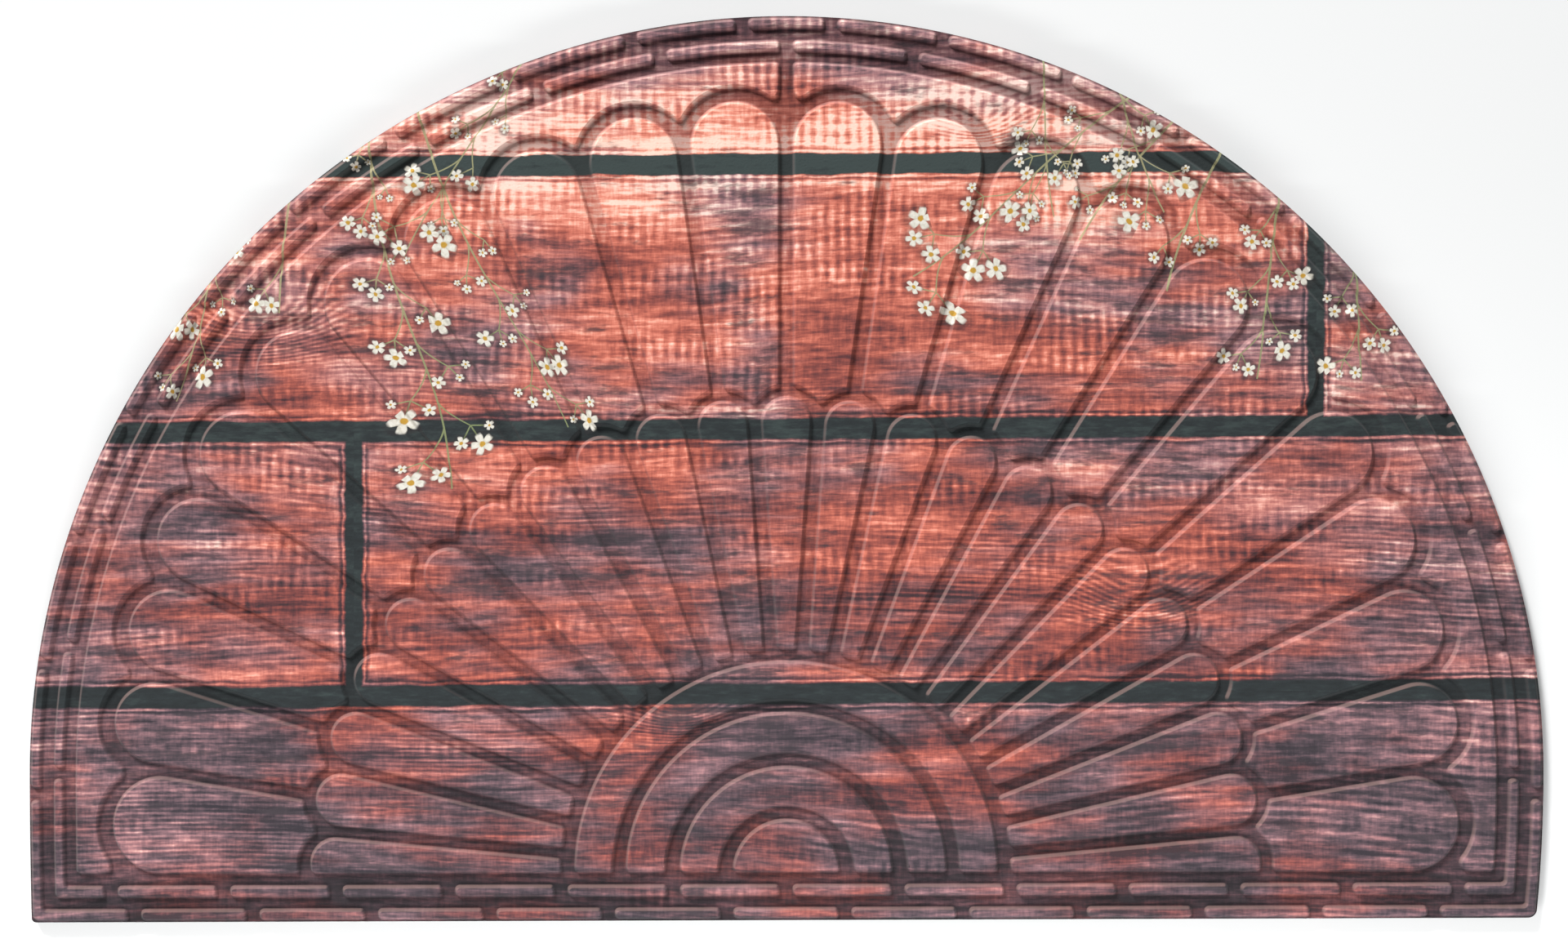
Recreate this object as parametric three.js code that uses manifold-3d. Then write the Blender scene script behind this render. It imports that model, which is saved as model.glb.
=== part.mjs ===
import * as THREE from 'three';
import { mergeVertices } from 'three/addons/utils/BufferGeometryUtils.js';
import Module from 'manifold-3d';

const wasm = await Module();
wasm.setup();

// Half round doormat, about 75 x 45 cm: a printed fibre face with moulded relief on a rubber base.
// Sizes are millimetres. X runs along the straight edge, Y towards the top of the arch, Z up.
// The mat lies flat on Z = 0, with the origin under the middle of the box it fills.

// Outline
const archRadius = 375; // half of the mat's width
const sideHeight = 73; // straight stretch between the arch and the straight edge
const edgeTilt = 1.2; // the straight edge lies this much lower at the left corner, higher at the right
const cornerCut = {
  left: { lean: 1, radius: 2 }, // lean: how far the side comes in on its way to the corner
  right: { lean: 3.6, radius: 4 },
};
const leastCornerRadius = 0.5; // of a bent brick's rim

// Thickness
const baseThickness = 3; // rubber
const feltThickness = 2; // face at the bottom of the grooves
const relief = 2.5; // height of the pads above the grooves
const draft = 0.9; // plan width of a pad's sloping side
const groove = 6.8; // between the rims of neighbouring pads
const padRoot = 0.4; // how deep a pad starts below the bottom of the grooves
const trimRoom = 1; // the outline that trims the pads reaches this far above them
const weldDistance = 1e-4; // corners of a solid that lie closer than this are one

// Brick border. Insets are measured from the mat's edge, arch joints in degrees from the top,
// joints of the straight edge in millimetres from its middle. Joints lie on both sides of the middle.
const brickRows = [
  { rim: 1.2, innerRim: 5.9, archJoints: [3.4, ...steps(12, 9.95, 9)], edgeJoints: steps(29.4, 58.8, 6) },
  { rim: 12.5, innerRim: 17.3, archJoints: steps(0, 10, 10), edgeJoints: steps(0, 55.8, 7) },
];

// Plain band inside the border, and the fan that it frames
const bandInset = 23.3;
const hubDrop = 49.8; // from the arch's centre down to the hub's
const footRise = 1; // from the hub's centre up to the rims of what stands along the straight edge
const tipInset = 41.8; // the outer tips lie this far inside the mat's edge
const tipGroove = 7.6; // groove round the outer tips
const innerTipRadius = 235.8; // from the hub's centre
const innerTipGroove = 6; // groove round the inner tips
const innerRootRadius = 111.7;
const petalPitch = 8.06; // degrees
const outerPetals = 11; // on each side of the middle
const hubRings = [
  { inner: 0, outer: 26.5, facets: 12 },
  { inner: 33.9, outer: 52.7, facets: 16 },
  { inner: 60.2, outer: 79.5, facets: 20 },
  { inner: 86.1, outer: 104.9, facets: 26 },
];

// Facets of the round stretches
const facets = {
  arch: 60,
  bandArch: 22,
  brick: 2,
  outerTip: 10,
  innerTip: 8,
  scallop: 8,
  petalRoot: 3,
  corner: 3,
};

// Places worked out from the sizes above
const matDepth = archRadius + sideHeight + edgeTilt;
const archCentreY = matDepth / 2 - archRadius;
const edgeY = archCentreY - sideHeight;
const hubCentre = { x: 0, y: archCentreY - hubDrop };
const fanFootY = hubCentre.y + footRise;
const grooveTop = baseThickness + feltThickness;

// Evenly stepped list of numbers
function steps(first, pitch, count) {
  return Array.from({ length: count }, (unused, index) => first + pitch * index);
}

function radians(degrees) {
  return degrees * Math.PI / 180;
}

// Unit vector at an angle in degrees from the top of the arch, clockwise
function heading(degrees) {
  return { x: Math.sin(radians(degrees)), y: Math.cos(radians(degrees)) };
}

// Points of an arc about a centre, from one angle to another, in degrees from the top, clockwise
function arc(centre, radius, from, to, count) {
  const points = [];
  for (let index = 0; index <= count; index++) {
    const way = heading(from + (to - from) * index / count);
    points.push({ x: centre.x + radius * way.x, y: centre.y + radius * way.y });
  }
  return points;
}

function angleOf(centre, point) {
  return Math.atan2(point.x - centre.x, point.y - centre.y) * 180 / Math.PI;
}

function mirrored(points) {
  return points.map((point) => ({ x: -point.x, y: point.y })).reverse();
}

// Where a line from a point meets a circle, on its far side
function lineMeetsCircle(start, way, centre, radius) {
  const along = (centre.x - start.x) * way.x + (centre.y - start.y) * way.y;
  const nearest = { x: start.x + way.x * along, y: start.y + way.y * along };
  const aside = Math.hypot(nearest.x - centre.x, nearest.y - centre.y);
  const reach = along + Math.sqrt(radius ** 2 - aside ** 2);
  return { x: start.x + way.x * reach, y: start.y + way.y * reach };
}

// Where two circles cross, on the side that is farther from the hub
function circlesCross(one, oneRadius, two, twoRadius) {
  const apart = Math.hypot(two.x - one.x, two.y - one.y);
  const along = (apart ** 2 + oneRadius ** 2 - twoRadius ** 2) / (2 * apart);
  const rise = Math.sqrt(oneRadius ** 2 - along ** 2);
  const way = { x: (two.x - one.x) / apart, y: (two.y - one.y) / apart };
  const crossings = [1, -1].map((turn) => ({
    x: one.x + way.x * along - turn * way.y * rise,
    y: one.y + way.y * along + turn * way.x * rise,
  }));
  const fromHub = crossings.map((point) => Math.hypot(point.x - hubCentre.x, point.y - hubCentre.y));
  return fromHub[0] > fromHub[1] ? crossings[0] : crossings[1];
}

// Outline of the mat, clockwise from its lower left corner
function matOutline() {
  const corner = (turn, radius, from) => {
    const centre = { x: turn * (archRadius - radius), y: edgeY + radius };
    return arc(centre, radius, from, from + 90, facets.corner);
  };
  return [
    ...corner(-1, cornerCut.left.radius, 180),
    ...arc({ x: 0, y: archCentreY }, archRadius, -90, 90, facets.arch),
    ...corner(1, cornerCut.right.radius, 90),
  ];
}

// Point of a path that runs round the mat at an inset, by its angle from the top.
// Past 90 degrees it goes straight down the side.
function borderPoint(angle, inset) {
  const radius = archRadius - inset;
  const turn = Math.sign(angle);
  const past = radians(Math.max(0, Math.abs(angle) - 90)) * radius;
  const way = past > 0 ? { x: turn, y: 0 } : heading(angle);
  return { x: radius * way.x, y: archCentreY + radius * way.y - past };
}

// Half a joint's width as an angle on the path at an inset
function jointAngle(inset) {
  return groove / 2 / (archRadius - inset) * 180 / Math.PI;
}

function archBrick(row, from, to) {
  const side = (inset) => {
    const start = from + jointAngle(inset);
    const pitch = (to - jointAngle(inset) - start) / facets.brick;
    return steps(start, pitch, facets.brick + 1).map((angle) => borderPoint(angle, inset));
  };
  return [...side(row.rim), ...side(row.innerRim).reverse()];
}

function edgeBrick(row, from, to) {
  const left = from + groove / 2;
  const right = to - groove / 2;
  return [
    { x: left, y: edgeY + row.rim },
    { x: left, y: edgeY + row.innerRim },
    { x: right, y: edgeY + row.innerRim },
    { x: right, y: edgeY + row.rim },
  ];
}

// Bent brick at the right corner, from the last joint of the arch to the last joint of the edge
function cornerBrick(row) {
  const lastAngle = row.archJoints.at(-1);
  const lastX = row.edgeJoints.at(-1) + groove / 2;
  const radius = Math.max(cornerCut.right.radius - row.rim, leastCornerRadius);
  const corner = { x: archRadius - row.rim - radius, y: edgeY + row.rim + radius };
  return [
    borderPoint(lastAngle + jointAngle(row.rim), row.rim),
    ...arc(corner, radius, 90, 180, facets.corner),
    { x: lastX, y: edgeY + row.rim },
    { x: lastX, y: edgeY + row.innerRim },
    { x: archRadius - row.innerRim, y: edgeY + row.innerRim },
    borderPoint(lastAngle + jointAngle(row.innerRim), row.innerRim),
  ];
}

// Both sides of the middle, without doubling a joint that lies on it
function bothSides(joints) {
  return [...joints.map((joint) => -joint).filter((joint) => joint < 0).reverse(), ...joints];
}

function brickOutlines(row) {
  const between = (joints, brick) => (
    joints.slice(1).map((joint, index) => brick(row, joints[index], joint))
  );
  const corner = cornerBrick(row);
  return [
    ...between(bothSides(row.archJoints), archBrick),
    ...between(bothSides(row.edgeJoints), edgeBrick),
    corner,
    mirrored(corner),
  ];
}

// Distance from a point along a heading to the line that keeps an inset from the mat's edge
function reachToInset(start, way, inset) {
  const radius = archRadius - inset;
  const hit = lineMeetsCircle(start, way, { x: 0, y: archCentreY }, radius);
  const onArch = hit.y > archCentreY;
  return onArch ? Math.hypot(hit.x - start.x, hit.y - start.y) : (radius - start.x) / way.x;
}

// Straight side of a petal: a line beside a ray from the hub's centre, shifted clockwise
function petalSide(angle, shift) {
  const way = heading(angle);
  return { angle, way, start: { x: hubCentre.x + shift * way.y, y: hubCentre.y - shift * way.x } };
}

// Round end that fits between two sides: its centre, its radius and the angle of its middle.
// reach gives how far the tip lies from the point where the two sides would meet.
function petalTip(left, right, reach) {
  const middle = (left.angle + right.angle) / 2;
  const half = Math.sin(radians((right.angle - left.angle) / 2));
  const turn = left.way.x * right.way.y - left.way.y * right.way.x;
  const gap = { x: right.start.x - left.start.x, y: right.start.y - left.start.y };
  const along = (gap.x * right.way.y - gap.y * right.way.x) / turn;
  const apex = { x: left.start.x + left.way.x * along, y: left.start.y + left.way.y * along };
  const way = heading(middle);
  const out = reach(apex, way) / (1 + half);
  return { middle, centre: { x: apex.x + way.x * out, y: apex.y + way.y * out }, radius: out * half };
}

// Arc of a tip between its tangent points on the two sides
function tipArc(tip, left, right, count) {
  return arc(tip.centre, tip.radius, left.angle - 90, right.angle + 90, count);
}

// Part of an outline that lies above a level
function keepAbove(points, level) {
  const kept = [];
  points.forEach((point, index) => {
    const next = points[(index + 1) % points.length];
    if (point.y >= level) kept.push(point);
    if ((point.y - level) * (next.y - level) < 0) {
      const share = (level - point.y) / (next.y - point.y);
      kept.push({ x: point.x + (next.x - point.x) * share, y: level });
    }
  });
  return kept;
}

// Inner tier: one petal on the middle and the others beside it, the last one cut by the straight edge
const innerPetals = steps(0, petalPitch, outerPetals + 1).map((angle) => {
  const left = petalSide(angle - petalPitch / 2, groove / 2);
  const right = petalSide(angle + petalPitch / 2, -groove / 2);
  const toTip = (apex) => innerTipRadius - Math.hypot(apex.x - hubCentre.x, apex.y - hubCentre.y);
  const tip = petalTip(left, right, toTip);
  const rootRight = lineMeetsCircle(right.start, right.way, hubCentre, innerRootRadius);
  const rootLeft = lineMeetsCircle(left.start, left.way, hubCentre, innerRootRadius);
  const outline = [...tipArc(tip, left, right, facets.innerTip), rootRight, rootLeft];
  return { tip, outline: keepAbove(outline, fanFootY) };
});

// Outer tier, right of the middle: each petal starts between two inner tips
const outerTier = steps(0, petalPitch, outerPetals).map((angle, index) => {
  const isLowest = index === outerPetals - 1;
  const left = petalSide(angle, groove / 2);
  const foot = petalSide(90, -footRise);
  const right = isLowest ? foot : petalSide(angle + petalPitch, -groove / 2);
  const tip = petalTip(left, right, (apex, way) => reachToInset(apex, way, tipInset));
  const around = [innerPetals[index].tip, innerPetals[index + 1].tip];
  const [one, two] = around.map((inner) => inner.centre);
  const clear = around[0].radius + innerTipGroove;
  const cusp = circlesCross(one, clear, two, clear);
  const rightStart = lineMeetsCircle(right.start, right.way, two, clear);
  const leftStart = lineMeetsCircle(left.start, left.way, one, clear);
  const root = [
    ...arc(two, clear, angleOf(two, rightStart), angleOf(two, cusp), facets.petalRoot),
    ...arc(one, clear, angleOf(one, cusp), angleOf(one, leftStart), facets.petalRoot).slice(1),
  ];
  return { tip, outline: [...tipArc(tip, left, right, facets.outerTip), ...root] };
});

// Plain band right of the middle seam: the mat's own curve outside, a scallop round each tip inside
function bandOutline() {
  const radius = archRadius - bandInset;
  const seamX = groove / 2;
  const seamAngle = Math.asin(seamX / radius) * 180 / Math.PI;
  const circles = outerTier.map(({ tip }) => ({ centre: tip.centre, radius: tip.radius + tipGroove }));
  const cusps = circles.slice(1).map((circle, index) => (
    circlesCross(circles[index].centre, circles[index].radius, circle.centre, circle.radius)
  ));
  const first = circles[0];
  const last = circles.at(-1);
  const seamEnd = lineMeetsCircle({ x: seamX, y: hubCentre.y }, { x: 0, y: 1 }, first.centre, first.radius);
  const footStart = lineMeetsCircle({ x: 0, y: fanFootY }, { x: 1, y: 0 }, last.centre, last.radius);
  const stops = [seamEnd, ...cusps, footStart];
  const scallops = circles.flatMap(({ centre, radius: reach }, index) => {
    const from = angleOf(centre, stops[index]);
    const to = angleOf(centre, stops[index + 1]);
    return arc(centre, reach, from, to, facets.scallop).slice(index === 0 ? 0 : 1);
  });
  return [
    ...arc({ x: 0, y: archCentreY }, radius, seamAngle, 90, facets.bandArch),
    { x: radius, y: fanFootY },
    ...scallops.reverse(),
  ];
}

// Half ring of the hub, or its half disc, standing on the foot of the fan
function hubRing({ inner, outer, facets: count }) {
  const end = (radius) => Math.acos((fanFootY - hubCentre.y) / radius) * 180 / Math.PI;
  const outside = arc(hubCentre, outer, -end(outer), end(outer), count);
  const inside = inner > 0 ? arc(hubCentre, inner, end(inner), -end(inner), count - 2) : [];
  return [...outside, ...inside];
}

function shapeOf(points) {
  return new THREE.Shape(points.map((point) => new THREE.Vector2(point.x, point.y)));
}

function slab(points, bottom, top) {
  const geometry = new THREE.ExtrudeGeometry(shapeOf(points), { depth: top - bottom, bevelEnabled: false });
  return geometry.translate(0, 0, bottom);
}

// Raised pad: the outline is its rim, and its sides slope outwards down to the groove
function pad(points) {
  const geometry = new THREE.ExtrudeGeometry(shapeOf(points), {
    depth: padRoot,
    bevelThickness: relief,
    bevelSize: draft,
    bevelSegments: 1,
  });
  return geometry.translate(0, 0, grooveTop - padRoot);
}

function toSolid(geometry) {
  const bare = geometry.clone();
  bare.deleteAttribute('normal');
  bare.deleteAttribute('uv');
  const merged = mergeVertices(bare, weldDistance);
  const vertProperties = Float32Array.from(merged.attributes.position.array);
  const triVerts = Uint32Array.from(merged.index.array);
  return new wasm.Manifold(new wasm.Mesh({ numProp: 3, vertProperties, triVerts }));
}

function toGeometry(solid) {
  const mesh = solid.getMesh();
  const geometry = new THREE.BufferGeometry();
  geometry.setAttribute('position', new THREE.BufferAttribute(Float32Array.from(mesh.vertProperties), 3));
  geometry.setIndex(new THREE.BufferAttribute(Uint32Array.from(mesh.triVerts), 1));
  return geometry;
}

// The mat isn't cut quite true: below the arch its sides lean in and its straight edge is tilted
function cutUnevenly(geometry) {
  const position = geometry.attributes.position;
  for (let index = 0; index < position.count; index++) {
    const x = position.getX(index);
    const y = position.getY(index);
    const down = Math.max(0, (archCentreY - y) / sideHeight);
    const out = x / archRadius;
    const lean = out > 0 ? cornerCut.right.lean : cornerCut.left.lean;
    position.setXY(index, x - out * lean * down ** 2, y + out * edgeTilt * down);
  }
  return geometry;
}

function mesh(name, geometry, finish) {
  geometry.computeVertexNormals();
  const piece = new THREE.Mesh(geometry, new THREE.MeshStandardMaterial(finish));
  piece.name = name;
  return piece;
}

// Rubber base
const outline = matOutline();
const base = toGeometry(toSolid(slab(outline, 0, baseThickness)));

// Printed face: the felt sheet with every pad raised on it
const outerOutlines = outerTier.map((petal) => petal.outline);
const innerOutlines = innerPetals.map((petal) => petal.outline);
const band = bandOutline();
const padOutlines = [
  ...brickRows.flatMap(brickOutlines),
  ...outerOutlines,
  ...outerOutlines.map(mirrored),
  ...innerOutlines,
  ...innerOutlines.slice(1).map(mirrored),
  band,
  mirrored(band),
  ...hubRings.map(hubRing),
];
const pads = padOutlines.map((points) => toSolid(pad(points))).reduce((all, next) => all.add(next));
const room = toSolid(slab(outline, baseThickness, grooveTop + relief + trimRoom));
const felt = toSolid(slab(outline, baseThickness, grooveTop));
const face = toGeometry(felt.add(pads.intersect(room)));

const doormat = new THREE.Group();
doormat.add(mesh('rubber_base', cutUnevenly(base), { color: 0x26282a, roughness: 0.85, metalness: 0 }));
doormat.add(mesh('printed_face', cutUnevenly(face), { color: 0x95544a, roughness: 0.95, metalness: 0 }));

export default doormat;
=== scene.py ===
import cmath
import math

import bmesh
import bpy
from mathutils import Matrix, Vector


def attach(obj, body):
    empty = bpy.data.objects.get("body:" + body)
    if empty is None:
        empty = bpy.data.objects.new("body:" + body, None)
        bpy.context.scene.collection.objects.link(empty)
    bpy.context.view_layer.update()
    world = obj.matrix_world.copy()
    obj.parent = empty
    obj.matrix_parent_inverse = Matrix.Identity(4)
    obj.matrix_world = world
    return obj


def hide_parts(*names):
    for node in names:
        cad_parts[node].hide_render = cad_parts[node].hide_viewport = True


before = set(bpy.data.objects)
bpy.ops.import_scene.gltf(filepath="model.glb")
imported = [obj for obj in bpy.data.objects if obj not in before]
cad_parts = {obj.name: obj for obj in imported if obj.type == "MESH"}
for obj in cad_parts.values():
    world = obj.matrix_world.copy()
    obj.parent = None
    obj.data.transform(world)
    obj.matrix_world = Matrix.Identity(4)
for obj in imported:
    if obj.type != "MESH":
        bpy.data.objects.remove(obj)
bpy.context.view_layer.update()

# Half round doormat, about 75 x 45 cm: printed fibre face with moulded relief on a rubber base.
# Plan sizes are millimetres on complex numbers, real part along the straight edge,
# imaginary part towards the top of the arch.

plan = {
    "archRadius": 375,
    "sideHeight": 73,
    "edgeTilt": 1.2,  # the straight edge drops this much to the left corner, and rises as much to the right
    "leftLean": 1,
    "rightLean": 3.6,  # the sides come in on their way down
    "leftCorner": 2,
    "rightCorner": 4,
    "baseTop": 3,
    "grooveTop": 5,
    "padTop": 7.5,
    "arcStep": 2.6,  # spacing of points on wide arcs
    "tipStep": 2.2,
}
matDepth = plan["archRadius"] + plan["sideHeight"] + plan["edgeTilt"]
archCentre = complex(0, matDepth / 2 - plan["archRadius"])
edgeY = archCentre.imag - plan["sideHeight"]

brickBorder = {
    "rows": [
        {"rim": 1.2, "innerRim": 5.9, "archJoints": [3.4] + [12 + 9.95 * i for i in range(9)],
         "edgeJoints": [29.4 + 58.8 * i for i in range(6)]},
        {"rim": 12.5, "innerRim": 17.3, "archJoints": [10 * i for i in range(10)],
         "edgeJoints": [55.8 * i for i in range(7)]},
    ],
    "groove": 6.8,
}

fan = {
    "bandInset": 23.3,
    "hubDrop": 49.8,
    "footRise": 1,
    "groove": 6.8,
    "tipInset": 41.8,
    "tipGroove": 7.6,
    "innerTipRadius": 235.8,
    "innerTipGroove": 6,
    "innerRootRadius": 111.7,
    "pitch": 8.06,
    "petals": 11,
    "hubRings": [(0, 26.5), (33.9, 52.7), (60.2, 79.5), (86.1, 104.9)],
}
hubCentre = archCentre - 1j * fan["hubDrop"]
footY = hubCentre.imag + fan["footRise"]


def heading(degrees):  # unit vector at an angle from the top of the arch, clockwise
    return complex(math.sin(math.radians(degrees)), math.cos(math.radians(degrees)))


def angleOf(vector):
    return math.degrees(math.atan2(vector.real, vector.imag))


def along(a, b):  # dot product of two plan vectors
    return (a * b.conjugate()).real


def arc(centre, radius, start, end, step):
    count = max(3, math.ceil(abs(math.radians(end - start)) * radius / step))
    return [centre + radius * heading(start + (end - start) * i / count) for i in range(count + 1)]


def mirrored(points):
    return [complex(-p.real, p.imag) for p in reversed(points)]


def lineMeetsCircle(start, way, centre, radius):
    nearest = start + way * along(centre - start, way)
    return nearest + way * math.sqrt(radius ** 2 - abs(nearest - centre) ** 2)


def circlesCross(one, oneRadius, two, twoRadius):  # the crossing farther from the hub
    apart = abs(two - one)
    reach = (apart ** 2 + oneRadius ** 2 - twoRadius ** 2) / (2 * apart)
    rise = math.sqrt(oneRadius ** 2 - reach ** 2)
    way = (two - one) / apart
    crossings = [one + way * reach + turn * 1j * way * rise for turn in (1, -1)]
    return max(crossings, key=lambda point: abs(point - hubCentre))


def matOutline():
    right = complex(plan["archRadius"] - plan["rightCorner"], edgeY + plan["rightCorner"])
    left = complex(plan["leftCorner"] - plan["archRadius"], edgeY + plan["leftCorner"])
    return (arc(left, plan["leftCorner"], 180, 270, 0.8)
            + arc(archCentre, plan["archRadius"], -90, 90, plan["arcStep"])
            + arc(right, plan["rightCorner"], 90, 180, 0.9))


# Brick border

def borderPoint(angle, inset):
    radius = plan["archRadius"] - inset
    past = math.radians(max(0, abs(angle) - 90)) * radius
    way = complex(math.copysign(1, angle), 0) if past > 0 else heading(angle)
    return archCentre + radius * way - 1j * past


def brickOutlines(row):
    half = brickBorder["groove"] / 2
    outlines = []

    def jointAngle(inset):
        return math.degrees(half / (plan["archRadius"] - inset))

    def side(start, end, inset):
        first, last = start + jointAngle(inset), end - jointAngle(inset)
        count = math.ceil(math.radians(last - first) * plan["archRadius"] / 6)
        return [borderPoint(first + (last - first) * i / count, inset) for i in range(count + 1)]

    archJoints = [-a for a in reversed(row["archJoints"]) if a > 0] + row["archJoints"]
    for start, end in zip(archJoints, archJoints[1:]):
        outlines.append(side(start, end, row["rim"]) + side(start, end, row["innerRim"])[::-1])
    edgeJoints = [-x for x in reversed(row["edgeJoints"]) if x > 0] + row["edgeJoints"]
    low, high = edgeY + row["rim"], edgeY + row["innerRim"]
    for start, end in zip(edgeJoints, edgeJoints[1:]):
        left, right = start + half, end - half
        outlines.append([complex(left, low), complex(left, high), complex(right, high), complex(right, low)])

    lastAngle, lastX = row["archJoints"][-1], row["edgeJoints"][-1] + half
    radius = max(plan["rightCorner"] - row["rim"], 0)
    corner = complex(plan["archRadius"] - row["rim"] - radius, edgeY + row["rim"] + radius)
    bent = ([borderPoint(lastAngle + jointAngle(row["rim"]), row["rim"])]
            + (arc(corner, radius, 90, 180, 0.9) if radius else [corner])
            + [complex(lastX, low), complex(lastX, high), complex(plan["archRadius"] - row["innerRim"], high),
               borderPoint(lastAngle + jointAngle(row["innerRim"]), row["innerRim"])])
    return outlines + [bent, mirrored(bent)]


# Fan of petals in two tiers, the plain band round it and the hub

def petalSide(angle, shift):  # straight line beside a ray from the hub's centre, shifted clockwise
    way = heading(angle)
    return {"angle": angle, "way": way, "start": hubCentre + shift * complex(way.imag, -way.real)}


def petalTip(left, right, reach):  # round end that touches both sides
    middle = (left["angle"] + right["angle"]) / 2
    half = math.sin(math.radians((right["angle"] - left["angle"]) / 2))
    turn = (left["way"].conjugate() * right["way"]).imag
    gap = right["start"] - left["start"]
    apex = left["start"] + left["way"] * (gap.conjugate() * right["way"]).imag / turn
    way = heading(middle)
    out = reach(apex, way) / (1 + half)
    return {"middle": middle, "centre": apex + way * out, "radius": out * half}


def tipArc(tip, left, right):
    return arc(tip["centre"], tip["radius"], left["angle"] - 90, right["angle"] + 90, plan["tipStep"])


def reachToInset(apex, way):
    radius = plan["archRadius"] - fan["tipInset"]
    hit = lineMeetsCircle(apex, way, archCentre, radius)
    return abs(hit - apex) if hit.imag > archCentre.imag else (radius - apex.real) / way.real


def keepAbove(points, level):
    kept = []
    for point, following in zip(points, points[1:] + points[:1]):
        if point.imag >= level:
            kept.append(point)
        if (point.imag - level) * (following.imag - level) < 0:
            kept.append(point + (following - point) * (level - point.imag) / (following.imag - point.imag))
    return kept


def innerPetal(angle):
    left = petalSide(angle - fan["pitch"] / 2, fan["groove"] / 2)
    right = petalSide(angle + fan["pitch"] / 2, -fan["groove"] / 2)
    tip = petalTip(left, right, lambda apex, way: fan["innerTipRadius"] - abs(apex - hubCentre))
    roots = [lineMeetsCircle(side["start"], side["way"], hubCentre, fan["innerRootRadius"])
             for side in (right, left)]
    return {"tip": tip, "outline": keepAbove(tipArc(tip, left, right) + roots, footY)}


def outerPetal(index, inner):
    angle = fan["pitch"] * index
    left = petalSide(angle, fan["groove"] / 2)
    isLowest = index == fan["petals"] - 1
    right = petalSide(angle + fan["pitch"], -fan["groove"] / 2)
    if isLowest:
        right = petalSide(90, -fan["footRise"])
    tip = petalTip(left, right, reachToInset)
    one, two = inner[index]["tip"]["centre"], inner[index + 1]["tip"]["centre"]
    clear = inner[0]["tip"]["radius"] + fan["innerTipGroove"]
    cusp = circlesCross(one, clear, two, clear)
    rightStart = lineMeetsCircle(right["start"], right["way"], two, clear)
    leftStart = lineMeetsCircle(left["start"], left["way"], one, clear)
    root = (arc(two, clear, angleOf(rightStart - two), angleOf(cusp - two), plan["tipStep"])
            + arc(one, clear, angleOf(cusp - one), angleOf(leftStart - one), plan["tipStep"])[1:])
    return {"tip": tip, "outline": tipArc(tip, left, right) + root}


def bandOutline(outer):
    radius = plan["archRadius"] - fan["bandInset"]
    seamX = fan["groove"] / 2
    circles = [(petal["tip"]["centre"], petal["tip"]["radius"] + fan["tipGroove"]) for petal in outer]
    stops = [lineMeetsCircle(complex(seamX, hubCentre.imag), 1j, *circles[0])]
    stops += [circlesCross(*one, *two) for one, two in zip(circles, circles[1:])]
    stops += [lineMeetsCircle(complex(0, footY), 1, *circles[-1])]
    scallops = []
    for (centre, reach), start, end in zip(circles, stops, stops[1:]):
        scallop = arc(centre, reach, angleOf(start - centre), angleOf(end - centre), plan["tipStep"])
        scallops += scallop[1:] if scallops else scallop
    seamAngle = math.degrees(math.asin(seamX / radius))
    return arc(archCentre, radius, seamAngle, 90, plan["arcStep"]) + [complex(radius, footY)] + scallops[::-1]


def hubRing(inner, outer):
    def end(radius):
        return math.degrees(math.acos(fan["footRise"] / radius))
    outside = arc(hubCentre, outer, -end(outer), end(outer), plan["tipStep"])
    return outside + (arc(hubCentre, inner, end(inner), -end(inner), plan["tipStep"]) if inner else [])


# Shapes of the moulded edges

def stepAlong(points, index, way, reach):  # point of a closed outline at a distance from a corner
    passed = []
    here, left = points[index], reach
    while True:
        index = (index + way) % len(points)
        length = abs(points[index] - here)
        if length > left:
            return here + (points[index] - here) * left / length, passed
        left -= length
        here = points[index]
        passed.append(index)


def roundCorners(points, leastRadius, steps=6):
    rounded, skipped = {}, set()
    for index, corner in enumerate(points):
        before, after = points[index - 1], points[(index + 1) % len(points)]
        turn = abs(cmath.phase((after - corner) / (corner - before)))
        if turn < math.radians(24):
            continue
        half = (math.pi - turn) / 2
        reach = leastRadius * math.cos(half) / math.sin(half) ** 2
        start, passedBack = stepAlong(points, index, -1, reach)
        end, passedOn = stepAlong(points, index, 1, reach)
        skipped.update(passedBack + passedOn)
        shares = [i / steps for i in range(steps + 1)]
        rounded[index] = [start * (1 - s) ** 2 + corner * 2 * s * (1 - s) + end * s ** 2 for s in shares]
    result = []
    for index, point in enumerate(points):
        if index in rounded:
            result += rounded[index]
        elif index not in skipped:
            result.append(point)
    return result


def divided(points, longest):  # adds points on long straight stretches
    result = []
    for point, following in zip(points, points[1:] + points[:1]):
        count = math.ceil(abs(following - point) / longest)
        result += [point + (following - point) * i / count for i in range(count)]
    return result


def anticlockwise(points):
    area = sum((a.conjugate() * b).imag for a, b in zip(points, points[1:] + points[:1]))
    return points if area > 0 else points[::-1]


def cutUnevenly(point):  # below the arch the sides lean in and the straight edge is tilted
    down = max(0, (archCentre.imag - point.imag) / plan["sideHeight"])
    out = point.real / plan["archRadius"]
    lean = plan["rightLean"] if out > 0 else plan["leftLean"]
    return point + complex(-out * lean * down ** 2, out * plan["edgeTilt"] * down)


def outlineCurve(name, outlines, height):
    curve = bpy.data.curves.new(name, "CURVE")
    curve.dimensions = "3D"
    for points in outlines:
        spline = curve.splines.new("POLY")
        spline.points.add(len(points) - 1)
        for target, point in zip(spline.points, points):
            target.co = (point.real / 1000, point.imag / 1000, height / 1000, 1)
        spline.use_cyclic_u = True
    shape = bpy.data.objects.new(name, curve)
    bpy.context.scene.collection.objects.link(shape)
    return shape


def linearColour(text):
    channels = [int(text[i:i + 2], 16) / 255 for i in (1, 3, 5)]
    return [c / 12.92 if c <= 0.04045 else ((c + 0.055) / 1.055) ** 2.4 for c in channels] + [1]


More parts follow.
